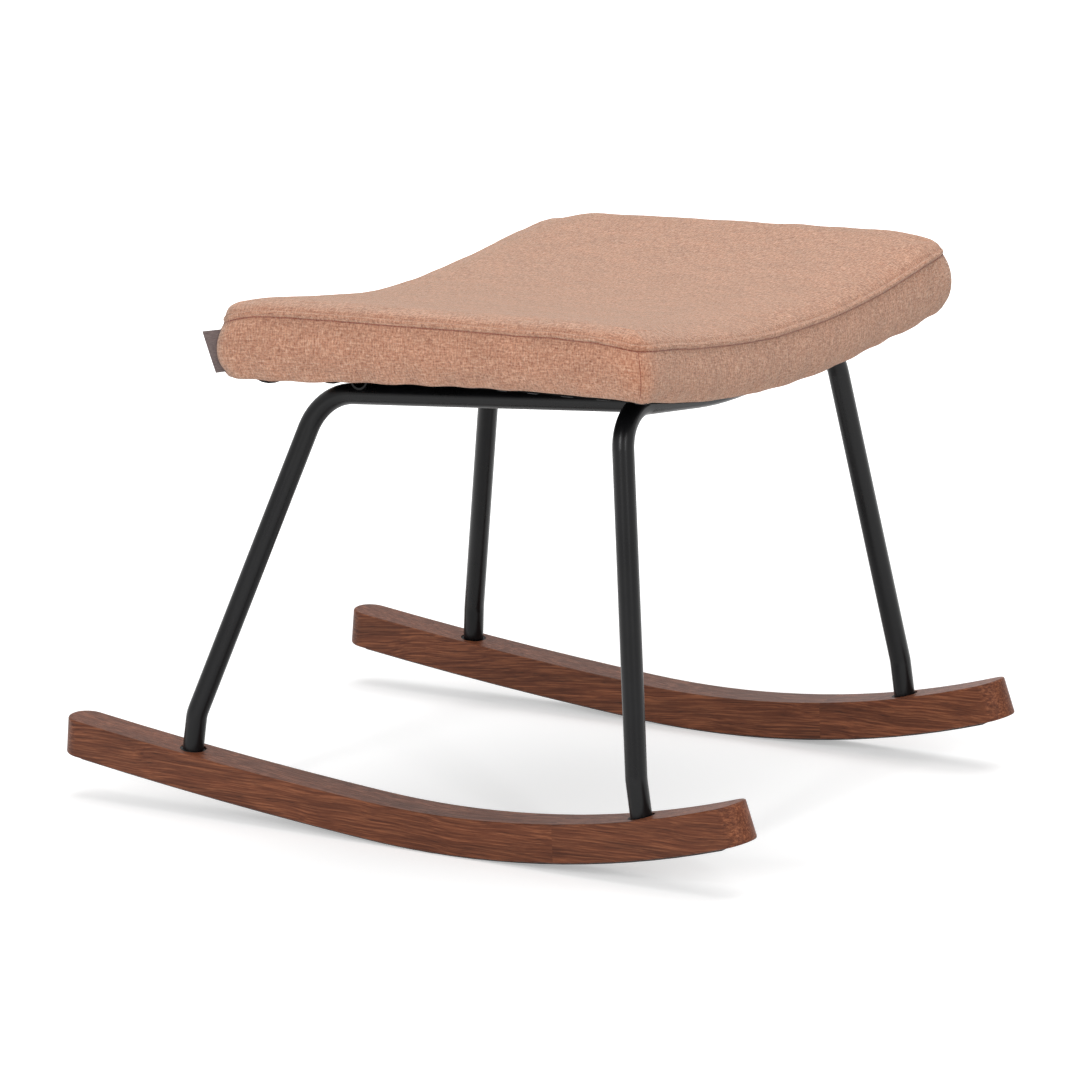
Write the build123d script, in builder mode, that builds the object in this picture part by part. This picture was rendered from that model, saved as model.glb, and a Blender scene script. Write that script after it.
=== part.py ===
from build123d import *
from math import asin, cos, hypot, sin, sqrt
import os

# Rocking footstool: two wooden rockers, a welded frame of bent steel tube and a dished
# upholstered seat.  Millimetres, +Z up, +X along the rockers towards the upright pair of
# legs (front), +Y to the left.  The origin is on the floor under the middle of the rockers.
# Everything but the loop tag is symmetric about the plane Y = 0.

# ---------------------------------------------------------------- driving dimensions
# rockers
rocker_reach = 311.0        # middle of the rocker to the tip of each rounded end
rocker_width = 31.0
rocker_height = 29.0
rocker_spacing = 184.0      # centre plane of each rocker from Y = 0
front_radius = 884.0        # running curve under the front two thirds
rear_radius = 4740.0        # almost straight tail behind it
contact_x = 43.0            # where the stool touches the floor when nobody uses it
tail_x = -25.0              # where the running curve hands over to the tail
rocker_edge_round = 1.5
nose_flat = 0.6             # width left flat between the two roundings of an end
board_joint_x = 148.0       # glued butt joint between the two boards of a rocker

# felt under the rockers
felt_thickness = 1.2
felt_width = 25.0
felt_end_gap = 20.0         # bare wood between the felt and the tip of the rocker

# frame tube
tube_diameter = 16.0
tube_wall = 1.5
foot_bend = 28.0            # centreline radius of the gentle bend above the rocker
rear_bend = 42.0            # centreline radius between rear leg and side rail
arch_bend = 32.0            # centreline radius between front leg and dished cross run
dish_bend = 400.0           # centreline radius in the middle of the cross run
saddle_overhang = 9.0       # rear cross tube beyond the axis of each side rail

# legs: where the tube axis crosses the top of the rocker, and the corners above it
front_foot_x = 216.0
front_knee_rise = 27.0
front_lean = 0.108          # forward run of the arch for each unit it goes down
front_corner_y = 142.2
front_corner_z = 335.5
rear_foot_x = -190.5
rear_knee_rise = 27.0
rear_knee_forward = 3.8
rear_knee_inward = 2.2
rear_corner_x = -105.5
rail_y = 111.0
rail_rear_z = 316.2
rail_front_z = 333.2

# sockets in the rockers
socket_depth = 19.0
collar_wall = 2.0
collar_recess = 0.8
fit_gap = 0.05
plug_length = 16.0
bolt_diameter = 6.0
bolt_clearance = 0.4
bolt_head_diameter = 10.5
bolt_head_height = 3.3
washer_diameter = 13.5
washer_thickness = 1.2
counterbore_depth = 5.4

# seat
seat_rear_x = -128.0        # widest lines of the upholstery
seat_front_x = 255.0
seat_half_width = 218.0
seat_corner = 20.0          # rounding of the upholstered corners
seam_height = 35.0          # underside of the board to the seam
crown = 11.5                # the top panel rises this much above the seam
crown_round = 18.0          # the top rounds over the seam into the side band
hem_round = 8.5             # rounding of the band towards the hem
lining_round = 6.0          # the same inside the cover
seam_inset = 0.5            # the rolled seam lies this far inside the widest line
seam_roll = 4.6             # height of the rolled seam
seam_round = 1.8            # rounding of the roll
cover_thickness = 1.5
hem_thickness = 2.4
hem_width = 18.0
hem_corner = 8.0
soft_gap = 0.3
dish_radius = 920.0         # of the seat board's underside
board_low_z = 335.8         # underside of the seat board at its lowest line
board_thickness = 9.0
board_inset = 9.0           # edge of the board behind the widest line
board_corner = 20.0
dust_cover_thickness = 0.9

# seat fixings
tab_thickness = 2.0
tab_length = 28.0
tab_reach = 27.0
tab_lap = 3.0               # the tab passes over the top of the tube by this much
tab_corner = 5.0
tab_gap = 0.8               # under the dust cover
tab_y = 62.0
tab_bolt_offset = 17.0      # bolt axis from the tube axis
rear_cross_x = -64.0
tee_flange_diameter = 18.0
tee_flange_thickness = 1.2
tee_flange_recess = 0.6
tee_barrel_diameter = 8.0
tee_barrel_length = 7.5

# loop tag in the corner seam
tag_height = 30.0
tag_reach = 11.0
tag_thickness = 0.9
tag_low_z = 350.0

os.makedirs("parts", exist_ok=True)

tube_radius = tube_diameter / 2
bore_radius = tube_radius - tube_wall
bolt_radius = bolt_diameter / 2


def save(part, name):
    part.label = name
    export_step(part, f"parts/{name}.step")


# ---------------------------------------------------------------- rocker curve
# The curve is two arcs that meet tangentially.  depth is measured up from the running face
# of the felt, square to the curve.
front_centre = Vector(contact_x, 0, front_radius)
tail_angle = asin((tail_x - contact_x) / front_radius)
tail_normal = Vector(-sin(tail_angle), 0, cos(tail_angle))
rear_centre = front_centre + tail_normal * (rear_radius - front_radius)
front_tip_angle = asin((rocker_reach - contact_x) / front_radius)
rear_tip_angle = asin((-rocker_reach - rear_centre.X) / rear_radius)


def curve_point(angle, depth, behind):
    centre = rear_centre if behind else front_centre
    radius = (rear_radius if behind else front_radius) - depth
    return centre.X + radius * sin(angle), centre.Z - radius * cos(angle)


def curve_at(x, depth):
    behind = x < tail_x
    centre = rear_centre if behind else front_centre
    radius = (rear_radius if behind else front_radius) - depth
    return centre.Z - sqrt(radius ** 2 - (x - centre.X) ** 2)


def curve_outline(low, high, rear_angle, front_angle):
    """Closed outline between two depths, from one end angle to the other."""
    rear_mid = (rear_angle + tail_angle) / 2
    front_mid = (tail_angle + front_angle) / 2
    for depth in (low, high):
        ThreePointArc(
            curve_point(rear_angle, depth, True),
            curve_point(rear_mid, depth, True),
            curve_point(tail_angle, depth, True),
        )
        ThreePointArc(
            curve_point(tail_angle, depth, False),
            curve_point(front_mid, depth, False),
            curve_point(front_angle, depth, False),
        )
    Line(curve_point(rear_angle, low, True), curve_point(rear_angle, high, True))
    Line(curve_point(front_angle, low, False), curve_point(front_angle, high, False))


wood_low = felt_thickness
wood_high = felt_thickness + rocker_height

# ---------------------------------------------------------------- leg axes
front_foot = Vector(front_foot_x, rocker_spacing, curve_at(front_foot_x, wood_high))
rear_foot = Vector(rear_foot_x, rocker_spacing, curve_at(rear_foot_x, wood_high))
front_knee = front_foot + Vector(-front_lean, 0, 1) * front_knee_rise
rear_knee = rear_foot + Vector(rear_knee_forward, -rear_knee_inward, rear_knee_rise)
front_down = (front_foot - front_knee).normalized()
rear_down = (rear_foot - rear_knee).normalized()


def mirrored(point, side):
    return Vector(point.X, side * point.Y, point.Z)


feet = [
    (mirrored(foot, side), mirrored(down, side))
    for side in (1, -1)
    for foot, down in ((front_foot, front_down), (rear_foot, rear_down))
]


def foot_plane(foot, down):
    """Plane at the top of a socket, looking up out of it."""
    return Plane(origin=foot, z_dir=-down)


# ---------------------------------------------------------------- rockers and felt
socket_radius = tube_radius + fit_gap + collar_wall + fit_gap
for side, side_name in ((1, "left"), (-1, "right")):
    with BuildPart() as rocker:
        with BuildSketch(Plane.XZ.offset(-side * rocker_spacing)):
            with BuildLine():
                curve_outline(wood_low, wood_high, rear_tip_angle, front_tip_angle)
            make_face()
        extrude(amount=rocker_width / 2, both=True)
        ends = rocker.edges().filter_by(GeomType.LINE).filter_by(
            lambda e: abs(e.center().X) > abs(front_foot_x) and abs(e.tangent_at(0).Y) < 0.1
        )
        fillet(ends, radius=(rocker_width - nose_flat) / 2)
        rims = rocker.edges().filter_by(lambda e: abs(e.tangent_at(0.5).Z) < 0.5)
        fillet(rims, radius=rocker_edge_round)
        for foot, down in feet:
            if foot.Y * side > 0:
                with BuildSketch(foot_plane(foot, down).offset(socket_depth)):
                    Circle(socket_radius)
                extrude(amount=-2 * socket_depth, mode=Mode.SUBTRACT)
                with BuildSketch(foot_plane(foot, down)):
                    Circle(bolt_radius + bolt_clearance)
                extrude(amount=-rocker_height * 2, mode=Mode.SUBTRACT)
                with BuildSketch(foot_plane(foot, down).offset(counterbore_depth - rocker_height)):
                    Circle(washer_diameter / 2 + bolt_clearance)
                extrude(amount=-rocker_height, mode=Mode.SUBTRACT)
    with BuildPart() as front_board:
        add(rocker.part)
        split(bisect_by=Plane.YZ.offset(board_joint_x), keep=Keep.TOP)
    save(front_board.part, f"rocker_{side_name}_front_board")
    with BuildPart() as rear_board:
        add(rocker.part)
        split(bisect_by=Plane.YZ.offset(board_joint_x), keep=Keep.BOTTOM)
    save(rear_board.part, f"rocker_{side_name}_rear_board")

    with BuildPart() as felt:
        felt_rear = rear_tip_angle + felt_end_gap / rear_radius
        felt_front = front_tip_angle - felt_end_gap / front_radius
        with BuildSketch(Plane.XZ.offset(-side * rocker_spacing)):
            with BuildLine():
                curve_outline(0, felt_thickness, felt_rear, felt_front)
            make_face()
        extrude(amount=felt_width / 2, both=True)
    save(felt.part, f"felt_strip_{side_name}")

# ---------------------------------------------------------------- collars, plugs and bolts at the feet
with BuildPart() as collars:
    for foot, down in feet:
        with BuildSketch(foot_plane(foot, down).offset(-collar_recess)):
            Circle(socket_radius - fit_gap)
            Circle(tube_radius + fit_gap, mode=Mode.SUBTRACT)
        extrude(amount=collar_recess - socket_depth)
save(collars.part, "leg_collars")

with BuildPart() as plugs:
    for foot, down in feet:
        with BuildSketch(foot_plane(foot, down).offset(-socket_depth)):
            Circle(bore_radius)
            Circle(bolt_radius, mode=Mode.SUBTRACT)
        extrude(amount=plug_length)
save(plugs.part, "leg_threaded_plugs")


def bolts_and_washers(seats, shank, name):
    """Socket-head bolts and their washers; each seat plane looks along the shank."""
    with BuildPart() as bolts:
        for seat in seats:
            with BuildSketch(seat.offset(-washer_thickness)):
                Circle(bolt_head_diameter / 2)
            extrude(amount=-bolt_head_height)
            with BuildSketch(seat.offset(-washer_thickness)):
                Circle(bolt_radius)
            extrude(amount=washer_thickness + shank)
            with BuildSketch(seat.offset(-washer_thickness - bolt_head_height)):
                RegularPolygon(radius=bolt_radius * 0.6, side_count=6)
            extrude(amount=bolt_head_height / 2, mode=Mode.SUBTRACT)
    save(bolts.part, f"{name}_bolts")
    with BuildPart() as washers:
        for seat in seats:
            with BuildSketch(seat):
                Circle(washer_diameter / 2)
                Circle(bolt_radius + fit_gap, mode=Mode.SUBTRACT)
            extrude(amount=-washer_thickness)
    save(washers.part, f"{name}_washers")


washer_depth = rocker_height - counterbore_depth
bolts_and_washers(
    [foot_plane(foot, down).offset(-washer_depth) for foot, down in feet],
    washer_depth - socket_depth + plug_length,
    "rocker",
)

# ---------------------------------------------------------------- the dish
# The board, the rear cross tube and the top of the seat all follow one cylinder whose axis
# runs along X high above the seat.
dish_centre_z = board_low_z + dish_radius
tab_low_drop = dust_cover_thickness + soft_gap + tab_gap + tab_thickness


def dish_z(y, below):
    """Height at y of the surface that lies below the underside of the board."""
    return dish_centre_z - sqrt((dish_radius + below) ** 2 - y ** 2)


# ---------------------------------------------------------------- welded tube frame
def tube_along(path, inner):
    """Tube swept along a wire, or the solid rod that fills it where inner is 0."""
    with BuildPart() as tube:
        with BuildSketch(Plane(origin=path @ 0, z_dir=path % 0)):
            Circle(tube_radius)
            if inner > 0:
                Circle(inner, mode=Mode.SUBTRACT)
        sweep(path=path)
    return tube.part


# front arch: both front legs and the dished cross run between them, bent in one plane
arch_stretch = hypot(1, front_lean)
arch_plane = Plane(
    origin=(front_foot.X, 0, front_foot.Z), x_dir=(0, 1, 0), z_dir=(1, 0, front_lean)
)
cross_at_tab_z = dish_z(tab_y, tab_low_drop) - tube_radius
cross_slope = (front_corner_z - cross_at_tab_z) / (front_corner_y - tab_y)
cross_vertex_z = cross_at_tab_z - cross_slope * tab_y


def arch_point(y, z):
    return y, (z - front_foot.Z) * arch_stretch


with BuildLine(arch_plane) as arch_path:
    FilletPolyline(
        (rocker_spacing, -socket_depth),
        arch_point(rocker_spacing, front_knee.Z),
        arch_point(front_corner_y, front_corner_z),
        arch_point(0, cross_vertex_z),
        arch_point(-front_corner_y, front_corner_z),
        arch_point(-rocker_spacing, front_knee.Z),
        (-rocker_spacing, -socket_depth),
        radius=[foot_bend, arch_bend, dish_bend, arch_bend, foot_bend],
    )
arch_rod = tube_along(arch_path.line, 0)
save(tube_along(arch_path.line, bore_radius), "front_leg_arch")

# side tubes: each is a rear leg and the side rail, coped to the front arch
rail_end_x = front_foot.X - front_lean * (rail_front_z - front_foot.Z)
rear_leg_end = rear_foot + rear_down * socket_depth
rail_rods = []
for side, side_name in ((1, "left"), (-1, "right")):
    with BuildLine() as side_path:
        FilletPolyline(
            mirrored(rear_leg_end, side),
            mirrored(rear_knee, side),
            (rear_corner_x, side * rail_y, rail_rear_z),
            (rail_end_x, side * rail_y, rail_front_z),
            radius=[foot_bend, rear_bend],
        )
    rail_rods.append(tube_along(side_path.line, 0))
    whole_tube = tube_along(side_path.line, bore_radius)
    with BuildPart() as coped:
        add(whole_tube)
        add(arch_rod, mode=Mode.SUBTRACT)
    with BuildPart() as side_tube:
        add(coped.part.solids().sort_by(SortBy.VOLUME)[-1])
    save(side_tube.part, f"rear_leg_and_rail_{side_name}")

# rear cross tube: follows the dish and is saddled on the two side rails
cross_radius = dish_radius + tab_low_drop + tube_radius
cross_end_y = rail_y + saddle_overhang
cross_end_z = dish_centre_z - sqrt(cross_radius ** 2 - cross_end_y ** 2)
with BuildLine(Plane.YZ.offset(rear_cross_x)) as cross_path:
    ThreePointArc(
        (-cross_end_y, cross_end_z), (0, dish_centre_z - cross_radius), (cross_end_y, cross_end_z)
    )
cross_tube = tube_along(cross_path.line, bore_radius)
with BuildPart() as saddled:
    add(cross_tube)
    for rod in rail_rods:
        add(rod, mode=Mode.SUBTRACT)
with BuildPart() as rear_cross:
    add(saddled.part.solids().sort_by(SortBy.VOLUME)[-1])
save(rear_cross.part, "rear_cross_tube")

# ---------------------------------------------------------------- mounting tabs
# Each tab plane touches the top line of a cross tube; its x axis points from the tube
# towards the middle of the seat.
rear_tilt = asin(tab_y / dish_radius)
cross_x_at_tab = front_foot.X - front_lean * (cross_at_tab_z - front_foot.Z)
tab_planes = {"front": [], "rear": []}
for side in (1, -1):
    along = Vector(-front_lean * cross_slope * side, 1, cross_slope * side).normalized()
    inward = (Vector(-1, 0, 0) - along * Vector(-1, 0, 0).dot(along)).normalized()
    normal = along.cross(inward)
    axis_point = Vector(cross_x_at_tab, side * tab_y, cross_at_tab_z)
    tab_planes["front"].append(
        Plane(origin=axis_point + normal * tube_radius, x_dir=inward, z_dir=normal)
    )
    outward = Vector(0, side * sin(rear_tilt), -cos(rear_tilt))
    tube_top = Vector(rear_cross_x, 0, dish_centre_z) + outward * (cross_radius - tube_radius)
    tab_planes["rear"].append(Plane(origin=tube_top, x_dir=(1, 0, 0), z_dir=-outward))

fixings = []
for name, planes in tab_planes.items():
    with BuildPart() as tabs:
        for plane in planes:
            with BuildSketch(plane):
                with Locations(((tab_reach - tab_lap) / 2, 0)):
                    RectangleRounded(tab_reach + tab_lap, tab_length, tab_corner)
                with Locations((tab_bolt_offset, 0)):
                    Circle(bolt_radius + bolt_clearance, mode=Mode.SUBTRACT)
            extrude(amount=tab_thickness)
            fixings.append(
                Plane(
                    origin=plane.origin + plane.x_dir * tab_bolt_offset,
                    x_dir=plane.x_dir,
                    z_dir=plane.z_dir,
                )
            )
    save(tabs.part, f"mounting_tabs_{name}")

# every fixing plane lies on the underside of its tab and looks up into the board
flange_rise = tab_low_drop + board_thickness - tee_flange_recess
bolts_and_washers(fixings, flange_rise, "seat")

with BuildPart() as tee_nuts:
    for fixing in fixings:
        with BuildSketch(fixing.offset(flange_rise)):
            Circle(tee_flange_diameter / 2)
        extrude(amount=tee_flange_thickness)
        with BuildSketch(fixing.offset(flange_rise)):
            Circle(tee_barrel_diameter / 2)
        extrude(amount=-tee_barrel_length)
        with BuildSketch(fixing):
            Circle(bolt_radius)
        extrude(amount=flange_rise + tee_flange_thickness, mode=Mode.SUBTRACT)
save(tee_nuts.part, "tee_nuts")


# ---------------------------------------------------------------- seat board and dust cover
seat_length = seat_front_x - seat_rear_x
seat_middle_x = (seat_front_x + seat_rear_x) / 2


def plan_outline(inset, corner):
    """Rounded rectangle inside the widest lines of the upholstery, in the current sketch."""
    with Locations((seat_middle_x, 0)):
        RectangleRounded(seat_length - 2 * inset, 2 * (seat_half_width - inset), corner)


def dish_layer(high, low):
    """Layer between two surfaces of the dish, high and low below the underside of the board."""
    half = seat_half_width + seat_corner
    with BuildPart() as layer:
        with BuildSketch(Plane.YZ.offset(seat_rear_x - seat_corner)):
            with BuildLine():
                for below in (high, low):
                    edge_z = dish_z(half, below)
                    ThreePointArc((-half, edge_z), (0, dish_z(0, below)), (half, edge_z))
                for y in (-half, half):
                    Line((y, dish_z(half, high)), (y, dish_z(half, low)))
            make_face()
        extrude(amount=seat_length + 2 * seat_corner)
    return layer.part


def dished_slab(high, low, inset, corner):
    """The same layer inside a rounded rectangle."""
    with BuildPart() as slab:
        add(dish_layer(high, low))
        with BuildSketch(Plane.XY.offset(dish_z(0, low) - 1)):
            plan_outline(inset, corner)
        height = dish_z(seat_half_width + seat_corner, high) - dish_z(0, low) + 2
        extrude(amount=height, mode=Mode.INTERSECT)
    return slab.part


plain_board = dished_slab(-board_thickness, 0, board_inset, board_corner)
with BuildPart() as board:
    add(plain_board)
    for fixing in fixings:
        with BuildSketch(fixing):
            Circle(tee_barrel_diameter / 2 + fit_gap)
        extrude(amount=flange_rise, mode=Mode.SUBTRACT)
        with BuildSketch(fixing.offset(flange_rise)):
            Circle(tee_flange_diameter / 2 + fit_gap)
        extrude(amount=board_thickness, mode=Mode.SUBTRACT)
save(board.part, "seat_board")

cloth_low = soft_gap + dust_cover_thickness
plain_cloth = dished_slab(soft_gap, cloth_low, hem_width + soft_gap, hem_corner)
with BuildPart() as dust_cover:
    add(plain_cloth)
    for fixing in fixings:
        with BuildSketch(fixing):
            Circle(bolt_radius + bolt_clearance)
        extrude(amount=flange_rise, mode=Mode.SUBTRACT)
save(dust_cover.part, "dust_cover")

# ---------------------------------------------------------------- upholstery
# Every upholstered piece is cut from blocks that follow the dish.  Their upper rim is rounded
# as one crowned surface, which the rolled seam crosses.
top_drop = -seam_height - crown


def dished_block(inset, high, low):
    """Block inset from the widest lines, between two surfaces of the dish."""
    return dished_slab(high, low, inset, seat_corner - inset)


def faces_up(body):
    """The two dished faces of a block, which are its largest, bottom first."""
    return body.faces().sort_by(SortBy.AREA)[-2:].sort_by(Axis.Z)


with BuildPart() as outside:
    add(dished_block(0, top_drop, hem_thickness))
    fillet(faces_up(outside)[1].edges(), crown_round)
    fillet(faces_up(outside)[0].edges(), hem_round)

with BuildPart() as inside:
    add(dished_block(cover_thickness, top_drop + cover_thickness, 0))
    fillet(faces_up(inside)[1].edges(), crown_round - cover_thickness)
    fillet(faces_up(inside)[0].edges(), lining_round)

with BuildPart() as rolled_seam:
    add(dished_block(seam_inset, -seam_height - seam_roll, -seam_height))
    fillet(faces_up(rolled_seam)[1].edges(), seam_round)
    fillet(faces_up(rolled_seam)[0].edges(), seam_round)

with BuildPart() as top_panel:
    add(outside.part)
    add(dish_layer(2 * top_drop, -seam_height), mode=Mode.INTERSECT)
    add(rolled_seam.part)
    add(inside.part, mode=Mode.SUBTRACT)
save(top_panel.part, "cover_top_panel")

with BuildPart() as side_band:
    add(outside.part)
    add(dish_layer(-seam_height, 2 * hem_thickness), mode=Mode.INTERSECT)
    add(inside.part, mode=Mode.SUBTRACT)
    with BuildSketch(Plane.XY.offset(board_low_z - 2 * hem_thickness)):
        plan_outline(hem_width, hem_corner)
    extrude(amount=3 * seam_height, mode=Mode.SUBTRACT)
save(side_band.part, "cover_side_band")

foam_inset = cover_thickness + soft_gap
with BuildPart() as foam:
    add(dished_block(foam_inset, top_drop + foam_inset, -board_thickness - soft_gap))
    fillet(faces_up(foam)[1].edges(), crown_round - foam_inset)
    for fixing in fixings:
        with BuildSketch(fixing.offset(flange_rise)):
            Circle(tee_flange_diameter / 2 + soft_gap)
        extrude(amount=tee_flange_thickness + soft_gap, mode=Mode.SUBTRACT)
save(foam.part, "foam_pad")

# loop tag: stands out diagonally from the rear right corner and follows its rounding
with BuildPart() as tag:
    tag_plane = Plane(
        origin=(seat_rear_x + seat_corner, seat_corner - seat_half_width, tag_low_z),
        x_dir=(-1, -1, 0),
        z_dir=(-1, 1, 0),
    )
    with BuildSketch(tag_plane):
        Rectangle(3 * seat_corner, tag_height, align=(Align.MIN, Align.MIN))
    extrude(amount=tag_thickness / 2, both=True)
    add(dished_block(-tag_reach, -seam_height, 2 * hem_round), mode=Mode.INTERSECT)
    add(dished_block(0, -seam_height, 2 * hem_round), mode=Mode.SUBTRACT)
save(tag.part, "fabric_tag")
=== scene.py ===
import math
import random

import bpy
import numpy as np
from mathutils import Matrix, Vector, noise


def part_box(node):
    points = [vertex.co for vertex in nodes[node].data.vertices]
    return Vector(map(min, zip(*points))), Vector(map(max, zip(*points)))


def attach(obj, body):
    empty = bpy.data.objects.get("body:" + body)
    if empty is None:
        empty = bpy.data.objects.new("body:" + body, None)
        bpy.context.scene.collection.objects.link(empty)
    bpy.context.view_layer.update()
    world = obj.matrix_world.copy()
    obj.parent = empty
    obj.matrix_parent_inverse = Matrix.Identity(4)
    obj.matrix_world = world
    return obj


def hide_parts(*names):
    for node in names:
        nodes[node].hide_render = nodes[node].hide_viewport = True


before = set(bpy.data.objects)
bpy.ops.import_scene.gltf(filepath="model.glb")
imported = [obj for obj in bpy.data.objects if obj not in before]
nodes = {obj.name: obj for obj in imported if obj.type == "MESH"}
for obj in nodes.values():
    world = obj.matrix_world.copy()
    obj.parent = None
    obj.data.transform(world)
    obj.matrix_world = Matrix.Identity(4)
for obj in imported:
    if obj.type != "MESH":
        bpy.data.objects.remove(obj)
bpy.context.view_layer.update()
rng = random.Random(7)
MM = 0.001


# ------------------------------------------------------------------ node helpers
class Shader:
    """A material and a few short calls that add nodes to it."""

    def __init__(self, name):
        self.mat = bpy.data.materials.new(name)
        self.mat.use_nodes = True
        self.tree = self.mat.node_tree
        self.tree.nodes.clear()
        self.out = self.tree.nodes.new("ShaderNodeOutputMaterial")
        self.bsdf = self.tree.nodes.new("ShaderNodeBsdfPrincipled")
        self.tree.links.new(self.bsdf.outputs[0], self.out.inputs[0])

    def link(self, a, b):
        self.tree.links.new(a, b)

    def put(self, socket, value):
        if isinstance(value, (int, float, tuple)):
            socket.default_value = value
        else:
            self.link(value, socket)

    def set(self, **values):
        for key, value in values.items():
            self.put(self.bsdf.inputs[key.replace("_", " ")], value)

    def coords(self, uv=None):
        if uv:
            node = self.tree.nodes.new("ShaderNodeUVMap")
            node.uv_map = uv
            return node.outputs[0]
        return self.tree.nodes.new("ShaderNodeTexCoord").outputs["Object"]

    def mapping(self, vector, scale, rotation=(0, 0, 0), location=(0, 0, 0)):
        node = self.tree.nodes.new("ShaderNodeMapping")
        self.link(vector, node.inputs["Vector"])
        node.inputs["Scale"].default_value = scale
        node.inputs["Rotation"].default_value = rotation
        node.inputs["Location"].default_value = location
        return node.outputs[0]

    def noise(self, vector, scale=1.0, detail=2.0, rough=0.5, distortion=0.0):
        node = self.tree.nodes.new("ShaderNodeTexNoise")
        self.link(vector, node.inputs["Vector"])
        node.inputs["Scale"].default_value = scale
        node.inputs["Detail"].default_value = detail
        node.inputs["Roughness"].default_value = rough
        node.inputs["Distortion"].default_value = distortion
        return node.outputs["Fac"]

    def wave(self, vector, scale, direction="X", distortion=0.0):
        node = self.tree.nodes.new("ShaderNodeTexWave")
        node.wave_type = "BANDS"
        node.bands_direction = direction
        self.link(vector, node.inputs["Vector"])
        node.inputs["Scale"].default_value = scale
        node.inputs["Distortion"].default_value = distortion
        node.inputs["Detail"].default_value = 1.0
        node.inputs["Detail Scale"].default_value = 1.5
        return node.outputs["Fac"]

    def ramp(self, fac, *stops):
        node = self.tree.nodes.new("ShaderNodeValToRGB")
        self.link(fac, node.inputs[0])
        while len(node.color_ramp.elements) < len(stops):
            node.color_ramp.elements.new(0.5)
        for element, (position, colour) in zip(node.color_ramp.elements, stops):
            element.position = position
            if isinstance(colour, (int, float)):
                colour = (colour, colour, colour)
            element.color = (*colour, 1.0)
        return node.outputs[0]

    def math(self, kind, a, b):
        node = self.tree.nodes.new("ShaderNodeMath")
        node.operation = kind
        self.put(node.inputs[0], a)
        self.put(node.inputs[1], b)
        return node.outputs[0]

    def mix(self, fac, a, b, blend="MIX"):
        node = self.tree.nodes.new("ShaderNodeMix")
        node.data_type = "RGBA"
        node.blend_type = blend
        self.put(node.inputs[0], fac)
        for socket, value in ((node.inputs[6], a), (node.inputs[7], b)):
            self.put(socket, (*value, 1.0) if isinstance(value, tuple) else value)
        return node.outputs[2]

    def attribute(self, name):
        node = self.tree.nodes.new("ShaderNodeAttribute")
        node.attribute_name = name
        return node.outputs["Fac"]

    def bump(self, height, distance, strength):
        node = self.tree.nodes.new("ShaderNodeBump")
        node.inputs["Distance"].default_value = distance
        node.inputs["Strength"].default_value = strength
        self.link(height, node.inputs["Height"])
        return node.outputs[0]


def rgb(r, g, b):
    """Linear colour from the 8-bit values that a screen shows, each over 10."""
    return tuple(((c / 255 + 0.055) / 1.055) ** 2.4 for c in (r, g, b))


# ------------------------------------------------------------------ materials
def fabric_material():
    """Heathered chenille weave; the uv map is in metres, u along the slubbed yarn."""
    s = Shader("chenille_weave")
    uv = s.coords("weave")
    slub = s.noise(s.mapping(uv, (150, 760, 1)), 1.0, 3.0, 0.68)
    cross = s.noise(s.mapping(uv, (760, 170, 1), location=(3.1, 7.7, 0)), 1.0, 2.5, 0.66)
    fleck = s.noise(s.mapping(uv, (620, 620, 1), location=(9.3, 1.7, 0)), 1.0, 1.5, 0.6)
    cloud = s.noise(s.mapping(uv, (26, 60, 1)), 1.0, 3.0, 0.55)
    base = s.ramp(
        slub, (0.34, rgb(156, 94, 68)), (0.46, rgb(192, 131, 102)),
        (0.56, rgb(211, 155, 126)), (0.68, rgb(236, 194, 165)),
    )
    weft = s.ramp(
        cross, (0.34, rgb(156, 94, 68)), (0.50, rgb(199, 140, 111)), (0.66, rgb(232, 187, 158))
    )
    colour = s.mix(0.48, base, weft)
    dark = s.ramp(fleck, (0.34, rgb(214, 190, 178)), (0.48, (1.0, 1.0, 1.0)))
    colour = s.mix(0.9, colour, dark, "MULTIPLY")
    pale = s.ramp(fleck, (0.60, 0.0), (0.72, 1.0))
    colour = s.mix(s.math("MULTIPLY", pale, 0.45), colour, rgb(238, 206, 184))
    tone = s.ramp(cloud, (0.30, 0.90), (0.70, 1.05))
    colour = s.mix(1.0, colour, tone, "MULTIPLY")
    # painted shade: the colour is darkened along the stitch line and the corner seams, standing
    # in for the shade in their grooves
    seam = s.ramp(s.attribute("painted_seam_shade"), (0.50, 0.0), (0.92, 0.95))
    colour = s.mix(seam, colour, rgb(196, 146, 134), "MULTIPLY")
    yarns = s.mapping(uv, (900, 900, 1))
    weave = s.math("MULTIPLY", s.wave(yarns, 0.30, "X", 1.2), s.wave(yarns, 0.30, "Y", 1.2))
    height = s.math("ADD", s.math("MULTIPLY", weave, 0.6), s.math("ADD", slub, cross))
    fuzz = s.noise(s.mapping(uv, (2600, 2600, 1)), 1.0, 2.0, 0.6)
    height = s.math("ADD", height, s.math("MULTIPLY", fuzz, 0.35))
    s.set(Base_Color=colour, Roughness=0.92, Normal=s.bump(height, 0.0008, 0.9))
    s.set(Sheen_Weight=0.45, Sheen_Roughness=0.5, Sheen_Tint=(0.84, 1.0, 0.92, 1.0))
    s.set(Specular_IOR_Level=0.15)
    return s.mat


def thread_material():
    s = Shader("sewing_thread")
    twist = s.wave(s.mapping(s.coords(), (1, 1, 1), rotation=(0.6, 0.3, 0.8)), 900, "X")
    s.set(Base_Color=s.ramp(twist, (0.2, rgb(116, 66, 50)), (0.9, rgb(152, 94, 74))))
    s.set(Roughness=0.8, Normal=s.bump(twist, 0.0002, 0.6))
    return s.mat


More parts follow.
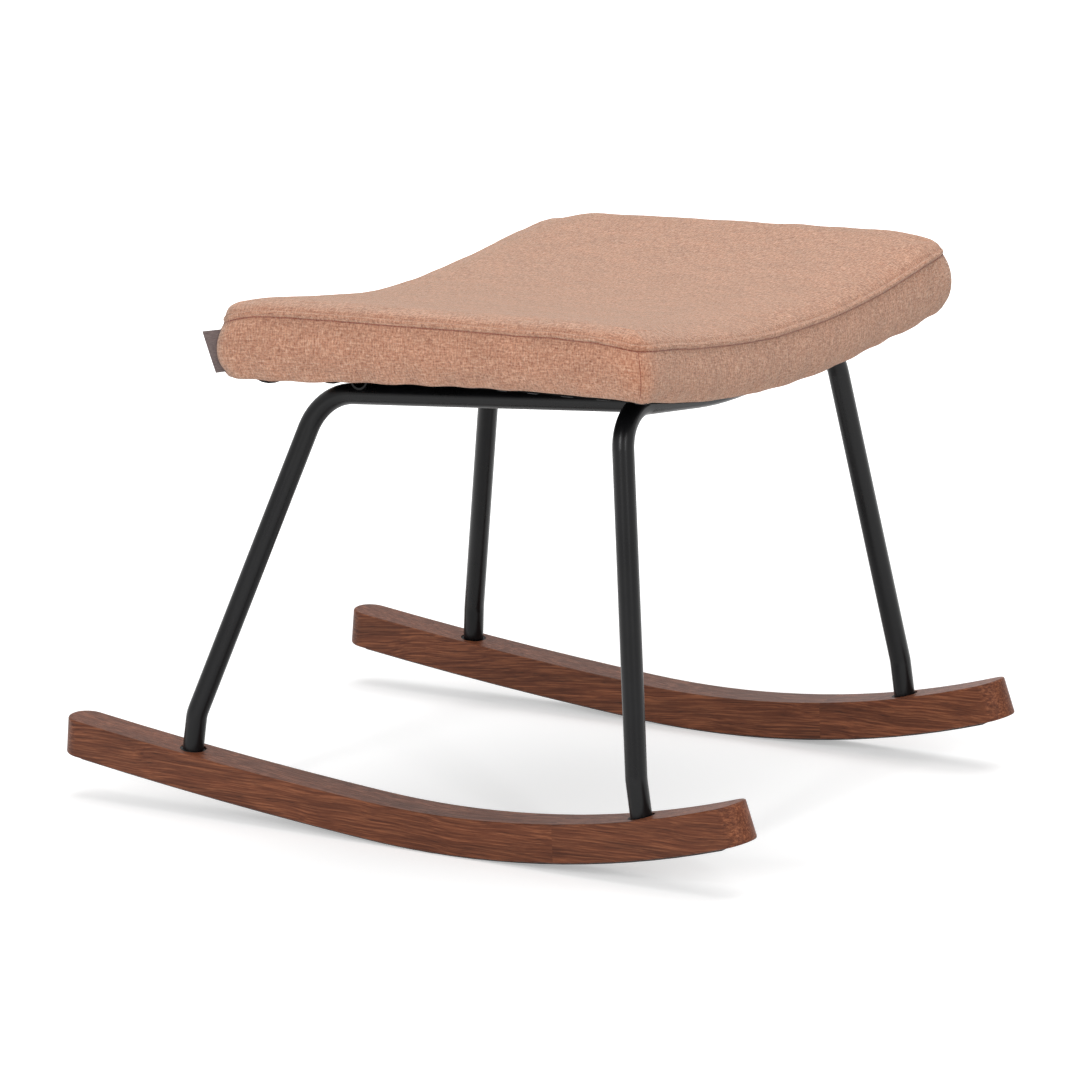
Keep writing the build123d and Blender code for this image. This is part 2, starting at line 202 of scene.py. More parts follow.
def tube_material():
    """Satin powder coat with a faint orange-peel."""
    s = Shader("powder_coat_black")
    c = s.coords()
    peel = s.noise(s.mapping(c, (700, 700, 700)), 1.0, 2.0, 0.5)
    broad = s.noise(s.mapping(c, (18, 18, 18)), 1.0, 3.0, 0.6)
    s.set(Base_Color=s.ramp(broad, (0.3, rgb(11, 11, 12)), (0.75, rgb(17, 17, 19))))
    s.set(Roughness=s.ramp(broad, (0.25, 0.25), (0.8, 0.32)))
    s.set(Normal=s.bump(peel, 0.00005, 0.35), Specular_IOR_Level=0.24)
    return s.mat


def wood_material(name, offset, tilt, tone):
    """Stained and oiled ash: drifting grain, short open pores, darker and lighter streaks."""
    s = Shader(name)
    c = s.mapping(s.coords(), (1, 1, 1), rotation=(0, tilt, 0), location=offset)
    drift = s.noise(s.mapping(c, (9, 14, 14)), 1.0, 2.0, 0.5)
    drift_y, drift_z = 0.010, 0.014
    bent = s.tree.nodes.new("ShaderNodeVectorMath")
    bent.operation = "ADD"
    s.link(c, bent.inputs[0])
    shift = s.tree.nodes.new("ShaderNodeCombineXYZ")
    s.link(s.math("MULTIPLY", drift, drift_y), shift.inputs[1])
    s.link(s.math("MULTIPLY", drift, drift_z), shift.inputs[2])
    s.link(shift.outputs[0], bent.inputs[1])
    grain_at = bent.outputs[0]
    bands = s.noise(s.mapping(grain_at, (20, 760, 760)), 1.0, 4.0, 0.62)
    pores = s.noise(s.mapping(grain_at, (70, 1500, 1500)), 1.0, 2.0, 0.55)
    broad = s.noise(s.mapping(grain_at, (6, 60, 70), location=(2, 5, 1)), 1.0, 3.0, 0.6)
    stains = (78, 39, 23), (106, 59, 38), (143, 87, 58)
    dark, mid, light = [tuple(c * tone for c in rgb(*stain)) for stain in stains]
    colour = s.ramp(bands, (0.32, dark), (0.50, mid), (0.68, light))
    colour = s.mix(1.0, colour, s.ramp(broad, (0.32, 0.72), (0.66, 1.14)), "MULTIPLY")
    pore_mask = s.ramp(pores, (0.33, 0.45), (0.43, 1.0))
    colour = s.mix(0.7, colour, pore_mask, "MULTIPLY")
    height = s.math("ADD", s.math("MULTIPLY", pore_mask, 0.7), s.math("MULTIPLY", bands, 0.5))
    s.set(Base_Color=colour, Roughness=s.ramp(bands, (0.3, 0.50), (0.8, 0.38)))
    s.set(Normal=s.bump(height, 0.00020, 0.5), Specular_IOR_Level=0.21)
    return s.mat


def felt_material():
    s = Shader("pressed_felt")
    c = s.coords()
    fibre = s.noise(s.mapping(c, (900, 900, 1400)), 1.0, 4.0, 0.7, 1.5)
    s.set(Base_Color=s.ramp(fibre, (0.3, rgb(34, 33, 33)), (0.7, rgb(78, 76, 74))))
    s.set(Roughness=0.98, Normal=s.bump(fibre, 0.0006, 0.9), Sheen_Weight=0.3)
    return s.mat


def plastic_material():
    s = Shader("moulded_black")
    grain = s.noise(s.mapping(s.coords(), (1500, 1500, 1500)), 1.0, 2.0)
    s.set(Base_Color=s.ramp(grain, (0.3, rgb(11, 11, 12)), (0.7, rgb(20, 20, 22))))
    s.set(Roughness=0.62, Normal=s.bump(grain, 0.00008, 0.5), Specular_IOR_Level=0.3)
    return s.mat


def zinc_material():
    s = Shader("zinc_plated")
    c = s.coords()
    cloudy = s.noise(s.mapping(c, (240, 240, 240)), 1.0, 3.0, 0.6)
    s.set(Base_Color=s.ramp(cloudy, (0.3, rgb(158, 160, 162)), (0.7, rgb(206, 208, 210))))
    s.set(Metallic=1.0, Roughness=s.ramp(cloudy, (0.2, 0.28), (0.8, 0.44)))
    return s.mat


def wire_material():
    """Lacquered staple wire."""
    s = Shader("lacquered_wire")
    streak = s.noise(s.mapping(s.coords(), (600, 600, 600)), 1.0, 2.0)
    s.set(Base_Color=s.ramp(streak, (0.3, rgb(26, 26, 27)), (0.7, rgb(44, 44, 46))))
    s.set(Roughness=0.5, Specular_IOR_Level=0.3)
    return s.mat


def plywood_material():
    s = Shader("birch_plywood")
    c = s.coords()
    face = s.noise(s.mapping(c, (5, 170, 40)), 1.0, 4.0, 0.6)
    plies = s.wave(c, 105, "Z", 0.6)
    colour = s.ramp(face, (0.3, rgb(176, 136, 92)), (0.7, rgb(212, 178, 132)))
    layers = s.ramp(plies, (0.3, rgb(150, 108, 70)), (0.7, rgb(216, 184, 140)))
    colour = s.mix(0.35, colour, layers)
    s.set(Base_Color=colour, Roughness=0.7, Normal=s.bump(face, 0.0002, 0.4))
    return s.mat


def dust_cloth_material():
    """Black spun-bonded cloth with its fine embossed grid."""
    s = Shader("spunbond_black")
    c = s.coords()
    dots = s.math("MULTIPLY", s.wave(c, 190, "X"), s.wave(c, 190, "Y"))
    fibre = s.noise(s.mapping(c, (800, 800, 800)), 1.0, 4.0, 0.7, 1.0)
    height = s.math("ADD", dots, fibre)
    s.set(Base_Color=s.ramp(fibre, (0.3, rgb(12, 12, 12)), (0.75, rgb(34, 34, 33))))
    s.set(Roughness=0.9, Normal=s.bump(height, 0.0003, 0.7), Specular_IOR_Level=0.2)
    return s.mat


def tag_material():
    """Plain ribbon: a fine rib along its length, nothing woven into it."""
    s = Shader("plain_ribbon")
    uv = s.coords("weave")
    rib = s.wave(uv, 700, "X", 0.3)
    tone = s.noise(s.mapping(uv, (300, 1200, 1)), 1.0, 3.0, 0.6)
    colour = s.ramp(tone, (0.3, rgb(92, 78, 77)), (0.7, rgb(126, 111, 108)))
    s.set(Base_Color=colour, Roughness=0.75, Normal=s.bump(s.math("ADD", rib, tone), 0.0002, 0.7))
    s.set(Sheen_Weight=0.2)
    return s.mat


fabric = fabric_material()
thread = thread_material()
black = tube_material()
felt = felt_material()
plastic = plastic_material()
zinc = zinc_material()
wire = wire_material()
plywood = plywood_material()
dust_cloth = dust_cloth_material()
ribbon = tag_material()

node_materials = {
    "rocker_left_front_board": wood_material("ash_left_front", (0.31, 0.02, 0.13), 0.05, 1.04),
    "rocker_left_rear_board": wood_material("ash_left_rear", (0.77, 0.11, 0.05), 0.09, 0.92),
    "rocker_right_front_board": wood_material("ash_right_front", (0.12, 0.27, 0.21), 0.04, 1.06),
    "rocker_right_rear_board": wood_material("ash_right_rear", (0.53, 0.19, 0.33), 0.0, 1.04),
    "felt_strip_left": felt,
    "felt_strip_right": felt,
    "front_leg_arch": black,
    "rear_leg_and_rail_left": black,
    "rear_leg_and_rail_right": black,
    "rear_cross_tube": black,
    "mounting_tabs_front": black,
    "mounting_tabs_rear": black,
    "leg_collars": plastic,
    "leg_threaded_plugs": zinc,
    "rocker_bolts": zinc,
    "rocker_washers": zinc,
    "seat_bolts": zinc,
    "seat_washers": zinc,
    "tee_nuts": zinc,
    "seat_board": plywood,
}
for name, material in node_materials.items():
    for material_slot in nodes[name].material_slots:
        material_slot.link = "OBJECT"
        material_slot.material = material


# ------------------------------------------------------------------ seat geometry, millimetres
# Plan and board come from the parts in model.glb.  Heights are counted from the underside of the
# board, square to the dish.
band_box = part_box("cover_side_band")
REAR, FRONT, HALF = band_box[0].x / MM, band_box[1].x / MM, band_box[1].y / MM
BOARD_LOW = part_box("seat_board")[0].z / MM
DISH = 920.0                # radius of the board's underside
CENTRE_Z = BOARD_LOW + DISH
MIDDLE = (REAR + FRONT) / 2
CORNER = 20.0               # plan radius of the cover's corners
SEAM = 34.4                 # the stitch line in the middle of a side
SEAM_CLIMB = 1.4            # it rises towards the front
SEAM_LEAN = 0.7             # and sinks towards the far side
CORNER_DIP = {-1: 10.5, 1: 5.0}     # it sinks at the rear and front corners
CREST_DIP = {-1: 7.0, 1: 6.0}       # and so does the top panel above it,
CREST_LEAN = 0.3            # by this share more on the far side and less on the near one
DIP_REACH = 22.0
CROWN = 11.7                # top panel above the stitches at its flat part
REAR_WAVE, WAVE_LENGTH, WAVE_FADE = 1.3, 220.0, 70.0    # waves of its rear edge
WAVE_SHIFT = 10.0
FAR_SINK, FAR_SINK_FADE = 2.0, 90.0     # it lies lower at the far end of that edge
UNDERSIDE = -2.7            # the hem where it is stapled
HANG = 2.4                  # lowest line of the cover below the board, near front
HANG_MORE = 7.2             # and this much more along the rear and the far side:
HANG_REAR = 65.0, 250.0     # from this far behind the front, over this length
HANG_FAR = 80.0, 140.0      # and from this far beyond the middle, over this length
EAR, EAR_PLACE, EAR_WIDTH = 4.8, 30.0, 70.0     # more beside the rear corners
EAR_INSIDE, EAR_START = 70.0, 50.0      # the ear begins this far inside, over this length
FRONT_EAR, FRONT_EAR_REACH = 2.2, 14.0  # more at the front corners
NEAR_CORNER = 15.0          # reach of what the corners do to the cover:
CORNER_SPREAD = 0.3         # the insets of the hem grow by this share,
CORNER_TUCK = 2.2           # the seam lies this much further in,
ROLL_TUCK = 2.3             # the roll this much more again
CORNER_BULGE = 1.5          # and the band between them this much further out
CORNER_PINCH, PINCH_WIDTH = 0.5, 2.0    # the corner seam draws the band in along a line
HEM_DRAW = 1.0              # a staple draws in the hem,
BAND_DRAW, DRAW_AT, DRAW_WIDTH = 1.5, 0.09, 0.07    # the band at this share of its height
HEM_LIFT = 1.1              # and the lowest line
LOOSE_REACH = 15.0          # and the cloth is free again this far away
SEAM_WAVER, WAVER_LENGTH = 0.7, 27.0    # unevenness of the stitch line
PUCKER, PUCKER_LENGTH = 0.3, 9.0        # and of the roll above it
PUFF, PUFF_WAVER, PUFF_LENGTH = 0.7, 0.6, 70.0      # and of the top panel,
PUFF_RISE = 18.0            # which rises over this length inside its shoulder


def dish(y, height):
    """Z of the surface that is height above the underside of the board."""
    return CENTRE_Z - math.sqrt((DISH - height) ** 2 - y * y)


def height_at(y, z):
    return DISH - math.hypot(CENTRE_Z - z, y)


def blend(a, b, t):
    return a + (b - a) * t


def smooth(t):
    t = max(0.0, min(1.0, t))
    return t * t * (3 - 2 * t)


def bell(distance, width):
    return math.exp(-((distance / width) ** 2))


def wobble(p, scale, seed):
    """Smooth noise between about -1 and 1; each use has a seed of its own."""
    return noise.noise(Vector((p[0] / scale, p[1] / scale, seed)))


def to_corner(x, y):
    """Distance to the nearest corner of the plan, and -1 for a rear or 1 for a front one."""
    cut = CORNER * (1 - math.sqrt(0.5))
    end = -1 if x < MIDDLE else 1
    corner_x = REAR + cut if end < 0 else FRONT - cut
    return math.hypot(x - corner_x, HALF - cut - abs(y)), end


def corner_dip(x, y, depth):
    away, end = to_corner(x, y)
    return depth[end] * math.exp(-((away / DIP_REACH) ** 1.3))


def seam_height(x, y):
    level = SEAM + SEAM_CLIMB * (x - MIDDLE) / (FRONT - MIDDLE) - SEAM_LEAN * y / HALF
    return level - corner_dip(x, y, CORNER_DIP)


def low_line(x, y):
    """Height of the lowest line of the cover."""
    from_front = (FRONT - HANG_REAR[0] - x) / HANG_REAR[1]
    from_middle = (y - HANG_FAR[0]) / HANG_FAR[1]
    more = HANG_MORE * smooth(max(from_front, from_middle))
    side = smooth((abs(y) - HALF + EAR_INSIDE) / EAR_START)
    more += EAR * bell(x - REAR - EAR_PLACE, EAR_WIDTH) * side
    away, end = to_corner(x, y)
    if end > 0:
        more += FRONT_EAR * bell(away, FRONT_EAR_REACH)
    return -HANG - more


def side_steps(length, step=6.0):
    """Positions along one side, close together at the corner seams."""
    ends = [0.0, 1.1, 3.0, 6.5, 11.0]
    inner = length - 2 * ends[-1]
    count = max(2, round(inner / step))
    middle = [ends[-1] + inner * i / count for i in range(1, count)]
    return ends + middle + [length - e for e in reversed(ends)]


def outline():
    """Points and outward normals of the plan outline; each side starts mid-corner."""
    quarter = math.pi / 4 * CORNER
    width, depth = FRONT - REAR, 2 * HALF
    result = []
    corners = [(REAR, -HALF, 0), (FRONT, -HALF, 1), (FRONT, HALF, 2), (REAR, HALF, 3)]
    for cx, cy, turn in corners:
        along = Vector(((1, 0), (0, 1), (-1, 0), (0, -1))[turn])
        out = Vector((along.y, -along.x))
        straight = (width if turn % 2 == 0 else depth) - 2 * CORNER
        start = Vector((cx, cy)) + along * CORNER
        for s in side_steps(straight + 2 * quarter)[:-1]:
            if s < quarter:
                a = (quarter - s) / CORNER
                centre = start - out * CORNER
                normal = out * math.cos(a) - along * math.sin(a)
                point = centre + normal * CORNER
            elif s > quarter + straight:
                a = (s - quarter - straight) / CORNER
                centre = start + along * straight - out * CORNER
                normal = out * math.cos(a) + along * math.sin(a)
                point = centre + normal * CORNER
            else:
                normal, point = out, start + along * (s - quarter)
            result.append((point, normal, turn, s))
    return result


ring = outline()
COUNT = len(ring)
steps_x = side_steps(FRONT - REAR - 2 * CORNER + math.pi / 2 * CORNER)
steps_y = side_steps(2 * HALF - 2 * CORNER + math.pi / 2 * CORNER)
NX, NY = len(steps_x) - 1, len(steps_y) - 1

# profile of the cover from the stapled hem to the shoulder of the top panel:
# (inset, kind, place, how free the cloth is)
#   hem   place is the share of the way from the underside down to the lowest line
#   band  the share of the way from the lowest line up to the stitches
#   roll, top  height above the stitches
profile = [
    (18.0, "hem", 0.0, 0.0),
    (14.5, "hem", 0.10, 0.0),
    (11.5, "hem", 0.42, 0.1),
    (9.2, "hem", 0.80, 0.3),
    (7.0, "hem", 1.0, 0.5),
    (5.0, "band", 0.035, 0.7),
    (3.4, "band", 0.10, 1.0),
    (2.1, "band", 0.19, 1.0),
    (1.1, "band", 0.29, 1.0),
    (0.5, "band", 0.40, 1.0),
    (0.3, "band", 0.51, 1.0),
    (0.5, "band", 0.62, 1.0),
    (1.0, "band", 0.73, 1.0),
    (1.8, "band", 0.84, 0.8),
    (2.7, "band", 0.93, 0.4),
    (3.7, "band", 1.0, 0.0),
]
stitch_row = len(profile) - 1
corner_seam_row = 6         # the corner seams show from here up
ROLL_INSET, ROLL_RADIUS, ROLL_HEIGHT = 3.3, 1.9, 2.3
for degrees in (-55, -20, 15, 50, 85, 120):
    a = math.radians(degrees)
    inset = ROLL_INSET - ROLL_RADIUS * math.cos(a)
    profile.append((inset, "roll", ROLL_HEIGHT + ROLL_RADIUS * math.sin(a), 0.0))
profile += [
    (5.1, "top", 3.6, 0.0),
    (5.7, "top", 4.9, 0.2),
    (6.9, "top", 6.9, 0.5),
    (9.2, "top", 9.1, 0.8),
    (12.6, "top", 10.8, 1.0),
    (16.6, "top", CROWN, 1.0),
]
GRID_INSET = profile[-1][0]
LAST = len(profile) - 1

# where the staples draw in the hem, counted along the outline
staple_pulls = []
walked = 0.0
perimeter = 2 * (FRONT - REAR + 2 * HALF)
SMALLEST_PULL_GAP, LARGEST_PULL_GAP, LAST_GAP = 26, 52, 20
while walked < perimeter - LAST_GAP:
    staple_pulls.append(walked)
    walked += rng.uniform(SMALLEST_PULL_GAP, LARGEST_PULL_GAP)


def side_length(turn):
    return (steps_x if turn % 2 == 0 else steps_y)[-1]


def looseness(i):
    """0 at a staple, where the hem is drawn in, up to 1 between two of them."""
    where = sum(side_length(k) for k in range(ring[i][2])) + ring[i][3]
    nearest = min(abs(where - p) for p in staple_pulls)
    return min(1.0, nearest / LOOSE_REACH) ** 1.4


def swell(x, y):
    """What the padding adds to CROWN: waves along the rear edge, and its own corners."""
    behind = x - REAR
    phase = (y + WAVE_SHIFT) * 2 * math.pi / WAVE_LENGTH
    waves = -REAR_WAVE * math.cos(phase) * math.exp(-behind / WAVE_FADE)
    far_rear = -FAR_SINK * smooth((y - 60) / 120) * math.exp(-behind / FAR_SINK_FADE)
    lean = 1 + CREST_LEAN * y / HALF
    corners = corner_dip(x, y, CORNER_DIP) - lean * corner_dip(x, y, CREST_DIP)
    return waves + far_rear + corners


def ring_point(i, k):
    """Point of row k of the profile at step i of the outline."""
    inset, kind, place, _ = profile[k]
    (px, py), normal, turn, s = ring[i]
    near = bell(to_corner(px, py)[0], NEAR_CORNER)
    loose = looseness(i)
    if kind == "hem":
        inset *= 1 + CORNER_SPREAD * near
        inset += HEM_DRAW * (0.5 - loose) * place
    if kind == "band":
        inset *= 1 + CORNER_SPREAD * near * (1 - place)
        inset += BAND_DRAW * (1 - loose) * bell(place - DRAW_AT, DRAW_WIDTH)
        from_seam = min(s, side_length(turn) - s)
        inset += CORNER_PINCH * max(0.0, 1 - from_seam / PINCH_WIDTH)
        inset += near * (CORNER_TUCK * place ** 6 - CORNER_BULGE * math.sin(math.pi * place))
    if kind in ("roll", "top"):
        tuck = min(1.0, (GRID_INSET - inset) / (GRID_INSET - ROLL_INSET))
        inset += CORNER_TUCK * near * tuck + PUCKER * wobble((px, py), PUCKER_LENGTH, 5.0)
    if kind == "roll":
        inset += ROLL_TUCK * near
    x, y = px - normal.x * inset, py - normal.y * inset
    seam = seam_height(x, y) + SEAM_WAVER * wobble((px, py), WAVER_LENGTH, 8.0)
    low = low_line(px, py) - HEM_LIFT * (loose - 0.5)
    if kind == "hem":
        height = blend(UNDERSIDE, min(low, UNDERSIDE), place)
    elif kind == "band":
        height = blend(low, seam, place)
    else:
        height = seam + place
        if kind == "top":
            height += swell(x, y) * place / CROWN
    return Vector((x, y, dish(y, height)))


def panel_height(x, y):
    """Height of the top panel inside its shoulder."""
    edge = min(x - REAR, FRONT - x, HALF - abs(y)) - GRID_INSET
    full = 1 - math.exp(-max(0.0, edge) / PUFF_RISE)
    waver = SEAM_WAVER * wobble((x, y), WAVER_LENGTH, 8.0) * (1 - full)
    soft = (PUFF + PUFF_WAVER * wobble((x, y), PUFF_LENGTH, 3.0)) * full
    return seam_height(x, y) + CROWN + waver + soft + swell(x, y)


def index(k, i):
    return k * COUNT + i % COUNT


def build_cover():
    """Points, faces, the kind of each face and how free each point is."""
    verts = [ring_point(i, k) for k in range(LAST + 1) for i in range(COUNT)]
    faces = []
    kinds = []
    for k in range(LAST):
        for i in range(COUNT):
            faces.append((index(k, i), index(k, i + 1), index(k + 1, i + 1), index(k + 1, i)))
            kinds.append((profile[k + 1][1], ring[i][2], k, i))
    free = [row[3] for row in profile for _ in range(COUNT)]
    # the top panel is a grid whose edge is the last ring
    grid = {}
    for a in range(NX + 1):
        grid[a, 0] = index(LAST, a)
        grid[a, NY] = index(LAST, NX + NY + (NX - a))
    for b in range(NY + 1):
        grid[NX, b] = index(LAST, NX + b)
        grid[0, b] = index(LAST, 2 * NX + NY + (NY - b))
    edge = {key: verts[v] for key, v in grid.items()}
    for a in range(1, NX):
        for b in range(1, NY):
            u, v = steps_x[a] / steps_x[-1], steps_y[b] / steps_y[-1]
            p = edge[a, 0] * (1 - v) + edge[a, NY] * v + edge[0, b] * (1 - u) + edge[NX, b] * u
            p -= edge[0, 0] * (1 - u) * (1 - v) + edge[NX, 0] * u * (1 - v)
            p -= edge[0, NY] * (1 - u) * v + edge[NX, NY] * u * v
            p.z = dish(p.y, panel_height(p.x, p.y))
            grid[a, b] = len(verts)
            verts.append(p)
            free.append(1.0)
    for a in range(NX):
        for b in range(NY):
            faces.append((grid[a, b], grid[a + 1, b], grid[a + 1, b + 1], grid[a, b + 1]))
            kinds.append(("panel", 0, a, b))
    return verts, faces, kinds, free


PRESSURE, FRAMES = 4.0, 20
SIDE_CAP, TOP_CAP = 0.0022, 0.0028      # metres that a point may move


def simulate(obj, free, caps):
    """Cloth under pressure, held along the seams; its result is kept in the mesh."""
    mesh = obj.data
    start = np.array([v.co[:] for v in mesh.vertices])
    pins = obj.vertex_groups.new(name="held")
    for i, f in enumerate(free):
        pins.add([i], 1.0 - f, "REPLACE")
    modifier = obj.modifiers.new("cloth", "CLOTH")
    settings = modifier.settings
    settings.quality = 6
    settings.mass = 0.25
    settings.tension_stiffness = 14
    settings.compression_stiffness = 14
    settings.shear_stiffness = 6
    settings.bending_stiffness = 1.5
    settings.use_pressure = True
    settings.uniform_pressure_force = PRESSURE
    settings.vertex_group_mass = "held"
    settings.pin_stiffness = 1.0
    settings.effector_weights.gravity = 0
    modifier.collision_settings.use_collision = False
    scene = bpy.context.scene
    for frame_number in range(1, FRAMES + 1):
        scene.frame_set(frame_number)
    graph = bpy.context.evaluated_depsgraph_get()
    shaped = obj.evaluated_get(graph).to_mesh()
    end = np.array([v.co[:] for v in shaped.vertices])
    obj.evaluated_get(graph).to_mesh_clear()
    obj.modifiers.remove(modifier)
    obj.vertex_groups.remove(pins)
    scene.frame_set(1)
    move = end - start
    far = np.linalg.norm(move, axis=1)
    limit = np.array(caps) * np.array(free)
    tiny = 1e-9
    move *= (limit * np.tanh(far / np.maximum(limit, tiny)) / np.maximum(far, tiny))[:, None]
    mesh.vertices.foreach_set("co", (start + move).ravel())
    mesh.update()


def new_mesh(name, verts, faces, material, smooth_faces=True):
    mesh = bpy.data.meshes.new(name)
    mesh.from_pydata([tuple(c * MM for c in v) for v in verts], [], faces)
    mesh.update()
    obj = bpy.data.objects.new(name, mesh)
    bpy.context.scene.collection.objects.link(obj)
    mesh.materials.append(material)
    for polygon in mesh.polygons:
        polygon.use_smooth = smooth_faces
    return obj


verts, faces, kinds, free = build_cover()
cover = new_mesh("upholstered_seat", verts, faces, fabric)
uv = cover.data.uv_layers.new(name="weave")
SIDE_SHIFT = Vector((700, 300))     # keeps the weave of the sides apart
girth = [0.0]
for k in range(1, LAST + 1):
    girth.append(girth[-1] + (verts[index(k, 0)] - verts[index(k - 1, 0)]).length)
for polygon, (kind, turn, k, i) in zip(cover.data.polygons, kinds):
    for corner, loop in enumerate(polygon.loop_indices):
        row = k + (corner in (2, 3))
        column = (i + (corner in (1, 2))) % COUNT
        if kind == "panel":
            place = verts[polygon.vertices[corner]].xy
        elif kind == "top":
            place = verts[index(LAST, column)].xy + ring[column][1] * (girth[-1] - girth[row])
        else:
            s = ring[column][3] if ring[column][2] == turn else side_length(turn)
            place = Vector((s, girth[row]) if turn % 2 == 0 else (girth[row], s))
            place += SIDE_SHIFT * (turn + 1)
        uv.data[loop].uv = place * MM
# painted shade: the material darkens the stitch line and the corner seams of the band by this
# attribute, in place of the shade in their grooves
shade = cover.data.attributes.new("painted_seam_shade", "FLOAT", "POINT")
for k in range(corner_seam_row, stitch_row + 1):
    for i in range(COUNT):
        if k == stitch_row or ring[i][3] == 0:
            shade.data[index(k, i)].value = 1.0
caps = [SIDE_CAP if n < (LAST + 1) * COUNT else TOP_CAP for n in range(len(verts))]
simulate(cover, free, caps)
subdivision = cover.modifiers.new("smooth", "SUBSURF")
subdivision.levels = subdivision.render_levels = 1
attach(cover, "root")
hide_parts("foam_pad", "cover_top_panel", "cover_side_band")


# ------------------------------------------------------------------ stitches
def capsule(points, radius, sides=6):
    """Vertices and faces of a thin tube with closed, rounded ends along the points."""
    verts, faces = [], []
    total = len(points)
    end_share = 0.35
    for n, p in enumerate(points):
        ahead = points[min(n + 1, total - 1)] - points[max(n - 1, 0)]
        ahead.normalize()
        side = ahead.cross(Vector((0, 0, 1)))
        if side.length < 0.1:
            side = ahead.cross(Vector((1, 0, 0)))
        side.normalize()
        up = side.cross(ahead)
        r = radius * (end_share if n in (0, total - 1) else 1.0)
        for j in range(sides):
            a = 2 * math.pi * j / sides
            verts.append(p + side * math.cos(a) * r + up * math.sin(a) * r)
    for n in range(total - 1):
        for j in range(sides):
            a, b = n * sides + j, n * sides + (j + 1) % sides
            faces.append((a, b, b + sides, a + sides))
    faces.append(tuple(reversed(range(sides))))
    faces.append(tuple(range((total - 1) * sides, total * sides)))
    return verts, faces


def join_up(name, pieces, material):
    verts, faces = [], []
    for piece_verts, piece_faces in pieces:
        base = len(verts)
        verts += piece_verts
        faces += [tuple(base + v for v in face) for face in piece_faces]
    return new_mesh(name, verts, faces, material)


def on_line(points, distance):
    """Point at this distance along the line."""
    for a, b in zip(points, points[1:]):
        length = (b - a).length
        if distance <= length:
            return a.lerp(b, distance / max(length, 1e-9))
        distance -= length
    return points[-1].copy()


def stitch(line, spacing, long, radius):
    """Stitches of one length, evenly spaced along the line."""
    total = sum((b - a).length for a, b in zip(line, line[1:]))
    count = int((total - long) / spacing)
    return [
        capsule([on_line(line, n * spacing + f * long) for f in (0, 0.35, 0.65, 1)], radius)
        for n in range(count)
    ]


moved = [Vector(v.co) / MM for v in cover.data.vertices]


def off_cover(k, i, distance):
    """The simulated point of the cover, moved outwards."""
    return moved[index(k, i)] + ring[i % COUNT][1].to_3d() * distance


seam_line = [off_cover(stitch_row, i, 0.36) for i in range(COUNT + 1)]
stitches = stitch(seam_line, spacing=3.2, long=2.2, radius=0.2)
for corner in range(4):
    start = sum((NX, NY, NX, NY)[:corner])
    line = [off_cover(k, start, 0.03) for k in range(corner_seam_row, stitch_row)]
    stitches += stitch(line, spacing=3.1, long=2.0, radius=0.16)
stitching = join_up("seam_stitching", stitches, thread)
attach(stitching, "root")


# ------------------------------------------------------------------ dust cloth and staples
CLOTH_INSET = 13.2
FLAT_CLOTH = -1.35          # under the board, inside the hem
BELOW_HEM = 0.7
PEEPS = (-80.0, 20.0, 1.0), (-22.0, 15.0, 0.9)      # x, half width and share of each
PEEP_DROP, PEEP_OUT = 0.9, 4.6      # below the lowest line of the cover, and outwards


def under_hem(x, y, inset):
    """A little below the underside of the hem."""
    rows = [(r[0], r[2]) for r in profile if r[1] == "hem"]
    share = 0.0
    for (wide, low_share), (narrow, high_share) in zip(rows, rows[1:]):
        if narrow <= inset <= wide:
            share = blend(low_share, high_share, (wide - inset) / (wide - narrow))
    return blend(UNDERSIDE, min(low_line(x, y), UNDERSIDE), share) - BELOW_HEM


def cloth_sheet():
    """Points and faces; the cloth sags out below the near hem in two places."""
    nx, ny = 60, 68
    cut_share, cut = 0.1, 5.0       # the corners of the cloth are cut
    folded_rows = 5                 # it is uneven up to here
    verts, faces = [], []
    for a in range(nx + 1):
        for b in range(ny + 1):
            u, v = a / nx, b / ny
            x = blend(REAR + CLOTH_INSET, FRONT - CLOTH_INSET, u)
            y = (2 * v - 1) * (HALF - CLOTH_INSET)
            cu, cv = abs(2 * u - 1), abs(2 * v - 1)
            pull = max(0.0, cu + cv - 2 + cut_share) / cut_share
            x -= math.copysign(cut * pull * cv, 2 * u - 1)
            y -= math.copysign(cut * pull * cu, 2 * v - 1)
            edge = min(a, nx - a, b, ny - b)
            fold = 0.5 * wobble((x, y), 14, 2.0) + 0.35 * wobble((x * 0.5, y * 2), 9, 4.0)
            inner = (UNDERSIDE - BELOW_HEM, FLAT_CLOTH - 0.4, FLAT_CLOTH)
            height = under_hem(x, y, CLOTH_INSET) if edge == 0 else inner[min(edge, 3) - 1]
            if b == 0:
                peep = sum(share * bell(x - middle, wide) for middle, wide, share in PEEPS)
                height = blend(height, low_line(x, y) - PEEP_DROP, peep)
                y -= PEEP_OUT * peep
            if edge < folded_rows:
                height -= max(0.0, fold)
            verts.append(Vector((x, y, dish(y, height))))
    for a in range(nx):
        for b in range(ny):
            k = a * (ny + 1) + b
            faces.append((k, k + 1, k + ny + 2, k + ny + 1))
    return verts, faces


cloth_verts, cloth_faces = cloth_sheet()
under_cloth = new_mesh("dust_cloth", cloth_verts, cloth_faces, dust_cloth)
thickness = under_cloth.modifiers.new("thickness", "SOLIDIFY")
thickness.thickness = 0.0005
thickness.offset = 0
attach(under_cloth, "root")
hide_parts("dust_cover")


